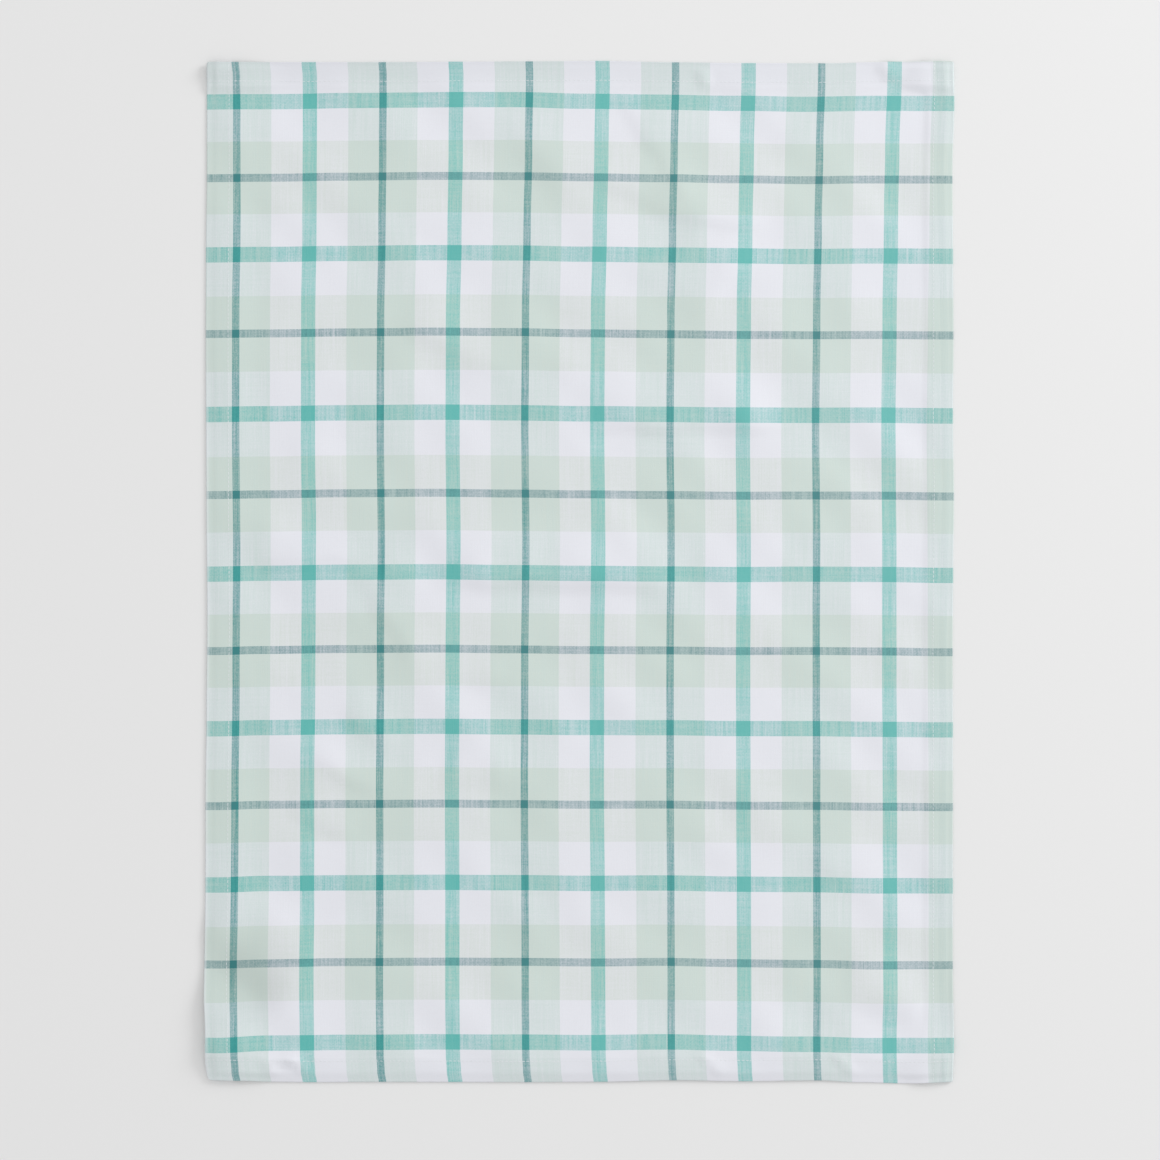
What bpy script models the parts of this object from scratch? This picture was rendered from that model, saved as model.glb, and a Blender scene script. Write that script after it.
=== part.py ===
"""Woven cotton tea towel, lying face up: one sheet with a turned hem on all four sides.

The sheet lies in the XY plane, with its length along Y and its top end at +Y, and it rests on z = 0.
Soft creases, a few puckers in the hems, the arch of the bottom hem and two raised places of the left
edge lift it off that plane.
All sizes are in metres.
"""

from collections import namedtuple
from math import cos, hypot, pi, radians, sin, sqrt

import bmesh
import bpy

# Driving sizes
WIDTH = 0.505  # between the folded side edges
LENGTH = 0.690  # between the folded end edges
CLOTH = 0.0010  # thickness of the field
HEM_STEP = 0.0009  # what one hem adds to the thickness
HEM_SLOPE = 0.0060  # length over which the face falls from a hem to the field
EDGE_ROUND = 0.0009  # how far in from the edge the fold is round
CORNER_RADIUS = 0.0024
CELL = 0.0085  # spacing of the points in the field
WAVER_REACH = 0.060  # how far in from an edge its waver dies out
SHARP_ANGLE = 50.0  # degrees

# Hem widths, from the folded edge to the inner fold
LEFT_HEM = 0.0170
RIGHT_HEM = 0.0155
TOP_HEM = 0.0150
BOTTOM_HEM = 0.0165

# How far an edge stands out from the straight line, at places along it from 0 to 1.
# The sides run from the bottom up, and the ends run from left to right.
Waver = namedtuple("Waver", "along out")
LEFT_WAVER = (
    Waver(0.00, -0.0014),
    Waver(0.02, -0.0001),
    Waver(0.05, -0.0001),
    Waver(0.09, 0.0008),
    Waver(0.20, 0.0000),
    Waver(0.28, 0.0000),
    Waver(0.36, -0.0007),
    Waver(0.46, -0.0012),
    Waver(0.57, -0.0006),
    Waver(0.73, -0.0002),
    Waver(0.81, -0.0004),
    Waver(0.90, -0.0010),
    Waver(1.00, -0.0010),
)
RIGHT_WAVER = (
    Waver(0.00, -0.0003),
    Waver(0.04, 0.0003),
    Waver(0.12, -0.0004),
    Waver(0.35, -0.0003),
    Waver(0.42, -0.0005),
    Waver(0.50, -0.0001),
    Waver(0.57, 0.0004),
    Waver(0.65, -0.0002),
    Waver(0.73, 0.0001),
    Waver(0.81, -0.0002),
    Waver(0.89, -0.0006),
    Waver(0.96, 0.0007),
    Waver(1.00, 0.0003),
)
TOP_WAVER = (
    Waver(0.00, -0.0007),
    Waver(0.05, -0.0005),
    Waver(0.24, -0.0005),
    Waver(0.34, -0.0002),
    Waver(0.43, 0.0000),
    Waver(0.53, 0.0003),
    Waver(0.63, -0.0006),
    Waver(0.73, -0.0012),
    Waver(0.83, -0.0013),
    Waver(0.92, -0.0002),
    Waver(0.96, 0.0001),
    Waver(1.00, -0.0002),
)
BOTTOM_WAVER = (
    Waver(0.00, -0.0022),
    Waver(0.04, -0.0019),
    Waver(0.09, -0.0010),
    Waver(0.14, -0.0007),
    Waver(0.24, -0.0009),
    Waver(0.43, -0.0007),
    Waver(0.53, -0.0010),
    Waver(0.63, -0.0020),
    Waver(0.72, -0.0013),
    Waver(0.82, -0.0019),
    Waver(0.87, -0.0006),
    Waver(0.94, 0.0002),
    Waver(1.00, -0.0009),
)

# Soft creases: where the crest starts and ends, measured from the middle of the cloth, the widths of
# its two slopes, and its height. The slope on the right of the run is the steep one.
Crease = namedtuple("Crease", "x0 y0 x1 y1 gentle steep height")
CREASES = (
    Crease(-0.004, 0.0995, 0.160, 0.1000, 0.046, 0.0085, 0.0019),  # across, above the middle
    Crease(-0.110, -0.0030, 0.078, -0.0050, 0.050, 0.0130, 0.0028),  # across the middle
    Crease(-0.236, 0.0120, -0.132, 0.0100, 0.034, 0.0095, 0.0012),  # its left end
    Crease(-0.154, 0.016, -0.100, -0.068, 0.046, 0.0160, 0.0019),  # runs down from there
    Crease(-0.056, 0.322, 0.010, 0.242, 0.040, 0.0220, 0.0011),  # slanting from the top hem
    Crease(0.0225, 0.333, 0.0825, 0.241, 0.034, 0.0100, 0.0011),
    Crease(-0.002, 0.276, 0.074, 0.240, 0.032, 0.0120, 0.0011),
    Crease(0.0445, 0.2480, 0.1325, 0.2330, 0.034, 0.0080, 0.0016),
    Crease(0.060, 0.229, 0.110, 0.189, 0.036, 0.0400, 0.0021),
    Crease(-0.130, 0.177, -0.036, 0.135, 0.042, 0.0160, 0.0014),
    Crease(-0.099, -0.065, -0.047, -0.071, 0.024, 0.0130, 0.0010),
    Crease(-0.096, -0.132, -0.044, -0.138, 0.030, 0.0180, 0.0018),
    Crease(-0.164, -0.090, -0.122, -0.122, 0.022, 0.0090, 0.0010),
    Crease(-0.186, -0.117, -0.127, -0.155, 0.024, 0.0095, 0.0012),
    Crease(-0.198, -0.156, -0.148, -0.180, 0.022, 0.0110, 0.0014),
    Crease(-0.256, -0.228, -0.172, -0.288, 0.050, 0.0300, 0.0045),  # above the raised edge
    Crease(0.172, -0.281, 0.244, -0.293, 0.040, 0.0200, 0.0017),
    Crease(-0.206, -0.322, -0.182, -0.341, 0.007, 0.0050, 0.0009),  # puckers of the bottom hem
    Crease(0.078, -0.322, 0.098, -0.341, 0.007, 0.0050, 0.0009),
    Crease(0.170, -0.322, 0.188, -0.341, 0.007, 0.0050, 0.0009),
    Crease(0.078, 0.341, 0.084, 0.324, 0.007, 0.0050, 0.0010),  # puckers of the top hem
    Crease(0.204, 0.347, 0.214, 0.330, 0.010, 0.0070, 0.0014),
)
CREASE_TAPER = 0.30  # share of a crease's length over which each end dies out

# Places that stand off the surface: how far the lift reaches to the sides, up and down, and its height
Lift = namedtuple("Lift", "x y across up down height")
LIFTS = (
    Lift(-WIDTH / 2, -0.312, 0.044, 0.046, 0.0260, 0.0027),  # left edge, near its bottom
    Lift(-WIDTH / 2, -0.285, 0.034, 0.036, 0.0350, 0.0008),
    Lift(-WIDTH / 2, LENGTH / 2, 0.020, 0.016, 0.0160, 0.0017),  # upper left corner
)
LIFT_PLATEAU = 1.5  # the middle third of a lift is level

# The bottom hem arches: its height at places along it from 0 to 1
Arch = namedtuple("Arch", "along height")
BOTTOM_ARCH = (
    Arch(0.00, 0.0008),
    Arch(0.05, 0.0019),
    Arch(0.26, 0.0011),
    Arch(0.42, 0.0014),
    Arch(0.53, 0.0018),
    Arch(0.62, 0.0015),
    Arch(0.72, 0.0017),
    Arch(0.84, 0.0012),
    Arch(1.00, 0.0001),
)
ARCH_TOP = 0.0085  # from the bottom fold, which lies on the surface, to where the arch stands highest
ARCH_FALL = 0.0500  # length over which it falls from there to the field

COTTON_COLOUR = (0.72, 0.83, 0.81, 1.0)
COTTON_ROUGHNESS = 0.92


def eased(share):
    """From 0 to 1 with level ends, for a share that is clamped to 0 to 1."""
    share = min(max(share, 0.0), 1.0)
    return (1 - cos(pi * share)) / 2


def value_at(table, along):
    """The value of a table at a place along its edge, easing from row to row."""
    for (start, before), (end, after) in zip(table, table[1:]):
        if along <= end:
            return before + (after - before) * eased((along - start) / (end - start))
    return table[-1][1]


def grid_lines(length, first_hem, last_hem):
    """Places of the grid's lines from one edge to the other: close at folds, even in the field."""
    near = (0.0, EDGE_ROUND, CORNER_RADIUS, ARCH_TOP)
    start = [*near, first_hem, first_hem + HEM_SLOPE]
    end = [length - place for place in (last_hem + HEM_SLOPE, last_hem, *reversed(near))]
    count = round((end[0] - start[-1]) / CELL)
    step = (end[0] - start[-1]) / count
    return start + [start[-1] + step * i for i in range(1, count)] + end


def corner_rounded(across, along):
    """Moves a point near a corner, given from the middle, so that the corner is an arc."""
    inner_x, inner_y = WIDTH / 2 - CORNER_RADIUS, LENGTH / 2 - CORNER_RADIUS
    a = (abs(across) - inner_x) / CORNER_RADIUS
    b = (abs(along) - inner_y) / CORNER_RADIUS
    if a <= 0 or b <= 0:
        return across, along
    x = inner_x + CORNER_RADIUS * a * sqrt(1 - b * b / 2)
    y = inner_y + CORNER_RADIUS * b * sqrt(1 - a * a / 2)
    return (x if across > 0 else -x), (y if along > 0 else -y)


def outline_shift(x, y):
    """How far the uneven edges move a point, less and less away from them."""
    up, right = y / LENGTH + 0.5, x / WIDTH + 0.5

    def near(distance):
        return eased(1 - distance / WAVER_REACH)

    shift_x = value_at(RIGHT_WAVER, up) * near(WIDTH / 2 - x)
    shift_x -= value_at(LEFT_WAVER, up) * near(WIDTH / 2 + x)
    shift_y = value_at(TOP_WAVER, right) * near(LENGTH / 2 - y)
    shift_y -= value_at(BOTTOM_WAVER, right) * near(LENGTH / 2 + y)
    return shift_x, shift_y


def crease_height(crease, x, y):
    """The height of one crease above the surface at a point."""
    run_x, run_y = crease.x1 - crease.x0, crease.y1 - crease.y0
    length = hypot(run_x, run_y)
    along = ((x - crease.x0) * run_x + (y - crease.y0) * run_y) / length**2
    right = ((x - crease.x0) * run_y - (y - crease.y0) * run_x) / length
    width = crease.steep if right > 0 else crease.gentle
    ends = eased(along / CREASE_TAPER) * eased((1 - along) / CREASE_TAPER)
    return crease.height * eased(1 - abs(right) / width) * ends


def lift_height(lift, x, y):
    """The height of one raised place above the surface at a point."""
    reach_y = lift.up if y > lift.y else lift.down
    outward = hypot((x - lift.x) / lift.across, (y - lift.y) / reach_y)
    return lift.height * eased((1 - outward) * LIFT_PLATEAU)


def arch_height(x, y):
    """The height of the bottom hem's arch above the surface at a point of the straight outline."""
    inward = y + LENGTH / 2
    climbed = (inward - EDGE_ROUND) / (ARCH_TOP - EDGE_ROUND)
    rise = sin(min(max(climbed, 0.0), 1.0) * pi / 2)
    fall = eased(1 - (inward - ARCH_TOP) / ARCH_FALL)
    return value_at(BOTTOM_ARCH, x / WIDTH + 0.5) * rise * fall


def fold_height(x, y):
    """What the creases and the raised places add to the height of the underside at a point."""
    creases = sum(crease_height(crease, x, y) for crease in CREASES)
    return creases + sum(lift_height(lift, x, y) for lift in LIFTS)


def hem_share(distance, hem):
    """1 in a hem, falling to 0 over the slope beside it."""
    return eased(1 - (distance - hem) / HEM_SLOPE)


def thickness(x, y):
    """Thickness of the sheet: the field, and what the hems at this point add to it."""
    sides = hem_share(WIDTH / 2 + x, LEFT_HEM) + hem_share(WIDTH / 2 - x, RIGHT_HEM)
    ends = hem_share(LENGTH / 2 + y, BOTTOM_HEM) + hem_share(LENGTH / 2 - y, TOP_HEM)
    return CLOTH + HEM_STEP * (sides + ends)


def cotton():
    material = bpy.data.materials.new("cotton")
    material.use_nodes = True
    shader = material.node_tree.nodes["Principled BSDF"]
    shader.inputs["Base Color"].default_value = COTTON_COLOUR
    shader.inputs["Roughness"].default_value = COTTON_ROUGHNESS
    shader.inputs["Metallic"].default_value = 0.0
    return material


def towel_mesh():
    """Two grids, the face and the underside, that share the points of the folded edge."""
    columns = grid_lines(WIDTH, LEFT_HEM, RIGHT_HEM)
    rows = grid_lines(LENGTH, BOTTOM_HEM, TOP_HEM)
    mesh = bmesh.new()
    face, back = {}, {}
    for i, column in enumerate(columns):
        for j, row in enumerate(rows):
            flat_x, flat_y = column - WIDTH / 2, row - LENGTH / 2
            x, y = corner_rounded(flat_x, flat_y)
            shift_x, shift_y = outline_shift(x, y)
            x, y = x + shift_x, y + shift_y
            low = fold_height(x, y) + arch_height(flat_x, flat_y)  # 0 where the sheet lies on the surface
            thick = thickness(flat_x, flat_y)
            if i in (0, len(columns) - 1) or j in (0, len(rows) - 1):
                face[i, j] = back[i, j] = mesh.verts.new((x, y, low + thick / 2))
            else:
                face[i, j] = mesh.verts.new((x, y, low + thick))
                back[i, j] = mesh.verts.new((x, y, low))
    for i in range(len(columns) - 1):
        for j in range(len(rows) - 1):
            around = ((i, j), (i + 1, j), (i + 1, j + 1), (i, j + 1))
            mesh.faces.new([face[place] for place in around])
            mesh.faces.new([back[place] for place in reversed(around)])
    return mesh


def centred(mesh):
    """Moves the mesh so that the middle of its outline is at the origin."""
    for axis in (0, 1):
        places = [vertex.co[axis] for vertex in mesh.verts]
        middle = (min(places) + max(places)) / 2
        for vertex in mesh.verts:
            vertex.co[axis] -= middle


def make_towel():
    mesh = towel_mesh()
    centred(mesh)
    data = bpy.data.meshes.new("towel")
    mesh.to_mesh(data)
    mesh.free()
    data.materials.append(cotton())
    data.shade_smooth()
    data.set_sharp_from_angle(angle=radians(SHARP_ANGLE))
    towel = bpy.data.objects.new("towel", data)
    bpy.context.scene.collection.objects.link(towel)


for item in list(bpy.data.objects):
    bpy.data.objects.remove(item, do_unlink=True)
make_towel()
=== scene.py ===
from collections import namedtuple
from math import cos, hypot, pi, sin, sqrt

import bpy
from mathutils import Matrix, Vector, noise
from mathutils.bvhtree import BVHTree


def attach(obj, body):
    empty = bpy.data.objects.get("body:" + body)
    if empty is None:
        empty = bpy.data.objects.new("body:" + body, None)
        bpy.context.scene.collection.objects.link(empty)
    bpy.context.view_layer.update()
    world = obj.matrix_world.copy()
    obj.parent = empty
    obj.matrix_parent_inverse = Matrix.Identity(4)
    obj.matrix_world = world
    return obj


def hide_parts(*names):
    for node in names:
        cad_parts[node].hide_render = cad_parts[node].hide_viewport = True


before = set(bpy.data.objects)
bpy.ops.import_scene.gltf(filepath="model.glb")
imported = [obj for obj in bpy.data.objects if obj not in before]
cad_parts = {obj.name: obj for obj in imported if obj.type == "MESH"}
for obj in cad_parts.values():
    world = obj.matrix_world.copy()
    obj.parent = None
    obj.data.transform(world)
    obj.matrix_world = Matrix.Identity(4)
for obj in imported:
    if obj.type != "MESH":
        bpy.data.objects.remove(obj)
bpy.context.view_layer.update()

print("frame loaded")


def eased(share):  # from 0 to 1 with level ends
    share = min(max(share, 0.0), 1.0)
    return (1 - cos(pi * share)) / 2


def between(rows, place):  # the values of a table at a place, easing from row to row
    if place <= rows[0][0]:
        return rows[0][1:]
    for before, after in zip(rows, rows[1:]):
        if place <= after[0]:
            share = eased((place - before[0]) / (after[0] - before[0]))
            return tuple(a + (b - a) * share for a, b in zip(before[1:], after[1:]))
    return rows[-1][1:]


def threeWay(values, share):  # first, middle and last value, straight from one to the next
    first, middle, last = values
    if share < 0.5:
        return first + (middle - first) * share * 2
    return middle + (last - middle) * (share - 0.5) * 2


towel = {
    "width": 0.505,  # between the folded side edges
    "length": 0.690,  # between the folded end edges
    "thickness": 0.00030,
    "layerPitch": 0.00038,  # from one layer to the next in a hem
    "turnIn": 0.0118,  # how deep the raw edge is tucked into the hem
    "edgeLevel": 1.2,  # height of the face at a folded edge, in layers over the lowest
    "turnInSlope": 0.0040,  # length over which the face climbs over the raw edge
    "liftOff": 0.00006,  # the thread on the back holds the cloth this far off the surface
    "fieldCell": 0.0037,  # from one mesh line to the next in the field
    "waverReach": 0.060,  # how far in from an edge its waver dies out
    "waveHeight": 0.0018,  # soft unevenness of the pressed field, in long slanting swells
    "waveWidth": 0.028,  # across a swell
    "waveRun": 0.080,  # and along it
    "waveMargin": 0.024,  # how far in from the edges the swells reach their full height
    "hemPucker": 0.0004,  # height of the puckers that the sewing leaves in the hems
    "puckerLength": 0.0150,  # along the hem
    "puckerStretch": 3.0,  # how much wider than long a pucker is, so that it runs right across the hem
    "rollReach": 0.0045,  # how far in from a fold its roll dies out
    "archRise": 0.0085,  # how far in from the bottom fold the hem stands highest
    "archFall": 0.0900,  # length over which it falls from there to the field
    "cornerPress": 0.14,  # share by which the layers of a corner are pressed closer together
    "cornerReach": 0.030,  # how far from the corner the press is felt
    "packageSlope": 0.0110,  # each layer more in a package makes the slope beside it this much longer
    "slopeStart": 0.0003,  # from the inner fold of a hem to where the face starts to fall
    "noseFade": 0.0300,  # how far in the thickness of the folds shifts the cloth
    "puckerEdge": 0.0040,  # how far in from a fold the puckers reach their full height
    "puckerFall": 0.0090,  # length over which they die out past the hem
    "waveShort": 0.60,  # how much of shorter swells is mixed with the long ones
    "waveMean": 0.40,  # mean height of the swells, as a share of the highest
    "creaseTaper": 0.30,  # share of a crease's length over which each end dies out
    "creaseWander": 0.0020,  # how far a crest strays from its straight run
    "creaseFade": 0.22,  # how much its height varies on the way
    "creaseBend": 0.026,  # length of such a stray
    "creaseNoise": 90.0,  # sets the noise of one crease apart from the next
    "liftPlateau": 1.5,  # the middle third of a lift is level
}
# from the folded edge to the inner fold, length over which the face falls from there to the field, and
# place of the stitches from the folded edge
hemRow = namedtuple("hemRow", "width slope stitch")
hems = {
    "left": hemRow(0.0170, 0.0180, 0.0152),
    "right": hemRow(0.0155, 0.0060, 0.0134),
    "top": hemRow(0.0150, 0.0080, 0.0132),
    "bottom": hemRow(0.0165, 0.0260, 0.0145),
}
cornerRadius = {(-1, -1): 0.0034, (1, -1): 0.0016, (-1, 1): 0.0018, (1, 1): 0.0014}  # by side and end

# how far each edge stands out from the straight line: place along it from 0 to 1, metres out, as
# measured in the photograph. the sides run from the bottom up, and the ends from left to right
leftWaver = [
    (0.00, -0.0014), (0.02, -0.0001), (0.05, -0.0001), (0.09, 0.0008), (0.20, 0.0000), (0.28, 0.0000),
    (0.36, -0.0007), (0.46, -0.0012), (0.57, -0.0006), (0.73, -0.0002), (0.81, -0.0004), (0.90, -0.0010),
    (1.00, -0.0010),
]
rightWaver = [
    (0.00, -0.0003), (0.04, 0.0003), (0.12, -0.0004), (0.35, -0.0003), (0.42, -0.0005), (0.50, -0.0001),
    (0.57, 0.0004), (0.65, -0.0002), (0.73, 0.0001), (0.81, -0.0002), (0.89, -0.0006), (0.96, 0.0007),
    (1.00, 0.0003),
]
topWaver = [
    (0.00, -0.0007), (0.05, -0.0005), (0.14, -0.0005), (0.24, -0.0005), (0.34, -0.0002), (0.43, 0.0000),
    (0.53, 0.0003), (0.63, -0.0006), (0.73, -0.0012), (0.83, -0.0013), (0.92, -0.0002), (0.96, 0.0001),
    (1.00, -0.0002),
]
bottomWaver = [
    (0.00, -0.0022), (0.04, -0.0019), (0.09, -0.0010), (0.14, -0.0007), (0.24, -0.0009), (0.33, -0.0008),
    (0.43, -0.0007), (0.53, -0.0010), (0.63, -0.0020), (0.72, -0.0013), (0.82, -0.0019), (0.87, -0.0006),
    (0.94, 0.0002), (1.00, -0.0009),
]

# how high the outer fold of a side hem stands off the surface: place along it from 0 to 1, metres
leftRoll = [(0.00, 0.0001), (0.08, 0.0003), (0.60, 0.0003), (0.74, 0.0001), (1.00, 0.0001)]
rightRoll = [
    (0.00, 0.0003), (0.05, 0.0008), (0.16, 0.0004), (0.26, 0.0004), (0.34, 0.0001), (0.42, 0.0003),
    (0.52, 0.0001), (0.66, 0.0001), (0.75, 0.0004), (0.84, 0.0001), (1.00, 0.0001),
]
# how high the bottom hem arches before it falls to its fold
bottomArch = [
    (0.00, 0.0008), (0.05, 0.0019), (0.14, 0.0014), (0.26, 0.0011), (0.42, 0.0014), (0.53, 0.0018),
    (0.62, 0.0015), (0.72, 0.0017), (0.84, 0.0012), (0.93, 0.0006), (1.00, 0.0001),
]

# creases: start and end of the crest from the middle of the cloth, widths of its two sides, height.
# the side to the right of the run is the steep one
creaseRow = namedtuple("creaseRow", "x0 y0 x1 y1 gentle steep height")
creases = [
    creaseRow(-0.004, 0.0995, 0.160, 0.1000, 0.046, 0.0085, 0.0019),  # across, above the middle
    creaseRow(-0.110, -0.0030, 0.078, -0.0050, 0.050, 0.0130, 0.0028),  # across the middle
    creaseRow(-0.236, 0.0120, -0.132, 0.0100, 0.034, 0.0095, 0.0012),  # its left end
    creaseRow(-0.154, 0.016, -0.100, -0.068, 0.046, 0.0160, 0.0019),  # runs down from there
    creaseRow(-0.056, 0.322, 0.010, 0.242, 0.040, 0.0220, 0.0011),  # slanting from the top hem
    creaseRow(0.0225, 0.333, 0.0825, 0.241, 0.034, 0.0100, 0.0011),
    creaseRow(-0.002, 0.276, 0.074, 0.240, 0.032, 0.0120, 0.0011),
    creaseRow(0.0445, 0.2480, 0.1325, 0.2330, 0.034, 0.0080, 0.0016),
    creaseRow(0.060, 0.229, 0.110, 0.189, 0.036, 0.0400, 0.0021),
    creaseRow(-0.130, 0.177, -0.036, 0.135, 0.042, 0.0160, 0.0014),
    creaseRow(-0.099, -0.065, -0.047, -0.071, 0.024, 0.0130, 0.0010),
    creaseRow(-0.096, -0.132, -0.044, -0.138, 0.030, 0.0180, 0.0018),
    creaseRow(-0.164, -0.090, -0.122, -0.122, 0.022, 0.0090, 0.0010),
    creaseRow(-0.186, -0.117, -0.127, -0.155, 0.024, 0.0095, 0.0012),
    creaseRow(-0.198, -0.156, -0.148, -0.180, 0.022, 0.0110, 0.0014),
    creaseRow(-0.256, -0.228, -0.172, -0.288, 0.050, 0.0300, 0.0036),  # above the raised edge
    creaseRow(0.158, -0.188, 0.180, -0.214, 0.014, 0.0080, 0.0005),
    creaseRow(0.172, -0.281, 0.244, -0.293, 0.040, 0.0200, 0.0017),
    creaseRow(-0.216, -0.326, -0.204, -0.342, 0.006, 0.0045, 0.0010),  # puckers of the bottom hem
    creaseRow(-0.212, -0.3300, -0.184, -0.3320, 0.006, 0.0050, 0.0009),
    creaseRow(-0.200, -0.324, -0.182, -0.342, 0.007, 0.0045, 0.0012),
    creaseRow(0.078, -0.322, 0.098, -0.341, 0.007, 0.0045, 0.0009),
    creaseRow(0.170, -0.322, 0.188, -0.341, 0.007, 0.0045, 0.0009),
    creaseRow(0.078, 0.341, 0.084, 0.324, 0.007, 0.0045, 0.0010),  # puckers of the top hem
    creaseRow(0.204, 0.347, 0.214, 0.330, 0.010, 0.0070, 0.0014),
]

# places that stand off the surface: how far the lift reaches to the sides, up and down, and its height
liftRow = namedtuple("liftRow", "x y across up down height")
lifts = [
    liftRow(-0.2525, -0.312, 0.044, 0.046, 0.0260, 0.0027),
    liftRow(-0.2525, -0.285, 0.034, 0.036, 0.0350, 0.0008),
    liftRow(-0.2525, 0.345, 0.020, 0.016, 0.0160, 0.0017),
]

# the check, and how its yarns wander from straight lines
check = {
    "repeatAcross": 0.09876,  # 200 warp ends
    "repeatAlong": 0.10603,  # 200 weft picks
    "yarnsInRepeat": 200,
    "firstDarkEnd": 0.02094,  # from the left fold to the middle of the first dark stripe
    "firstDarkPick": 0.07962,  # the same from the bottom fold
}
# the numbers of endWander, pickSpacing and pickBow weren't chosen by hand: another program fitted them to
# the stripes in the photograph, and about half were then moved, by up to 0.7 mm.
# warp: place along the cloth from the bottom, then the shift to the right at its left, middle and right
endWander = [
    (0.000, 0.0006, -0.0007, -0.0032), (0.012, -0.0005, -0.0016, -0.0036),
    (0.030, -0.0012, -0.0023, -0.0038), (0.095, -0.0018, -0.0026, -0.0031),
    (0.180, -0.0011, -0.0029, -0.0031), (0.280, -0.0007, -0.0035, -0.0031),
    (0.410, 0.0002, -0.0034, -0.0036), (0.525, 0.0005, -0.0025, -0.0038),
    (0.640, -0.0002, -0.0032, -0.0044), (0.750, -0.0002, -0.0027, -0.0035),
    (0.835, 0.0005, -0.0015, -0.0027), (0.915, 0.0004, -0.0003, -0.0018),
    (0.985, 0.0002, 0.0005, -0.0002), (1.000, -0.0009, 0.0003, 0.0001),
]
# weft: place along the cloth from the bottom, then the shift towards the top
pickSpacing = [
    (0.04, 0.0004), (0.12, 0.0014), (0.20, 0.0019), (0.27, 0.0020), (0.35, 0.0011), (0.42, 0.0005),
    (0.50, -0.0007), (0.58, -0.0004), (0.66, 0.0010), (0.73, 0.0022), (0.81, 0.0026), (0.89, 0.0013),
    (0.96, -0.0003),
]
# weft: place across the cloth from the left, then the shift towards the top at its bottom, middle and top
pickBow = [
    (0.01, -0.0009, -0.0003, 0.0000), (0.08, 0.0003, 0.0003, 0.0002), (0.19, 0.0007, 0.0010, 0.0009),
    (0.31, 0.0010, 0.0013, 0.0015), (0.41, 0.0010, 0.0007, 0.0016), (0.51, 0.0006, 0.0002, 0.0005),
    (0.61, 0.0013, -0.0002, -0.0002), (0.71, 0.0002, -0.0006, -0.0009), (0.80, -0.0005, -0.0003, -0.0017),
    (0.90, -0.0016, -0.0005, -0.0010), (0.99, -0.0013, -0.0012, -0.0010),
]

# each use of the noise reads a layer of its own, so that none of them follows another
noiseLayer = {
    "creaseFade": 50.0,
    "sidePucker": 4.0,
    "endPucker": 9.0,
    "longSwell": 0.0,
    "shortSwell": 3.0,
    "stitchSlant": 7.0,
    "warpSlub": 11.0,
    "weftSlub": 18.0,
}


def faceLevel(inward, hem):  # how many layers lie under the face, at a distance in from a folded edge
    overTurnIn = eased((inward - (hem.width - towel["turnIn"])) / towel["turnInSlope"] + 0.5)
    inHem = towel["edgeLevel"] + (2 - towel["edgeLevel"]) * overTurnIn
    return inHem * eased(1 - (inward - hem.width - towel["slopeStart"]) / hem.slope)


def hemSection(inward, hem, layer, nose):
    # one place of the cloth in the cross-section of its hem. inward runs along the cloth from the outer
    # fold, and is below 0 where the cloth is turned under. layer is the pitch of the layers.
    # gives the distance in from the edge, the height, and the normal of the cloth's face as (in, up)
    outerRadius = layer * towel["edgeLevel"] / 2
    innerRadius = layer / 2
    if inward > outerRadius:
        height = layer * (0.5 + faceLevel(inward, hem))
        return inward + nose * eased(1 - inward / towel["noseFade"]), height, (0.0, 1.0)
    if inward > -outerRadius:  # round the outer fold
        turn = pi / 2 * inward / outerRadius
        height = layer / 2 + outerRadius * (1 + sin(turn))
        return nose + outerRadius * (1 - cos(turn)), height, (-cos(turn), sin(turn))
    if inward > innerRadius - hem.width:  # the layer that lies lowest
        return nose - inward, layer / 2, (0.0, -1.0)
    if inward > -innerRadius - hem.width:  # round the inner fold
        turn = pi / 2 * (-inward - hem.width) / innerRadius
        place = nose + hem.width - innerRadius * (1 - cos(turn))
        return place, layer + innerRadius * sin(turn), (cos(turn), sin(turn))
    return nose + 2 * hem.width + inward, layer * 1.5, (0.0, 1.0)  # tucked in, up to the raw edge


def section(place, span, nearHem, farHem, layer, nose):
    # the same for a place measured from one fold, with a hem at each end: position, height, normal
    if place < span / 2:
        return hemSection(place, nearHem, layer, nose)
    inward, height, normal = hemSection(span - place, farHem, layer, nose)
    return span - inward, height, (-normal[0], normal[1])


# where the mesh lines of a hem run
hemMesh = {
    "tucked": (1.0, 0.72, 0.44, 0.20),  # in the tucked-in edge, as shares of its depth
    "innerFold": (-0.0008, -0.0005, -0.0002, 0.0, 0.0002, 0.0005, 0.0008),  # from the fold
    "under": (0.80, 0.60, 0.40, 0.20),  # in the lowest layer, as shares of the hem's width
    "outerFold": (-0.0015, -0.0009, -0.0005, -0.0002, 0.0, 0.0002, 0.0005, 0.0009, 0.0015),
    "face": (0.0026, 0.0038, 0.0052, 0.0066, 0.0080, 0.0100),  # from the outer fold
    "stitch": (-0.0009, 0.0, 0.0009),  # from the line of stitches
    "beside": (0.0, 0.0011),  # on the face, from the inner fold
    "slope": (0.30, 0.55, 0.80, 1.0),  # as shares of the slope beside the hem
}


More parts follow.
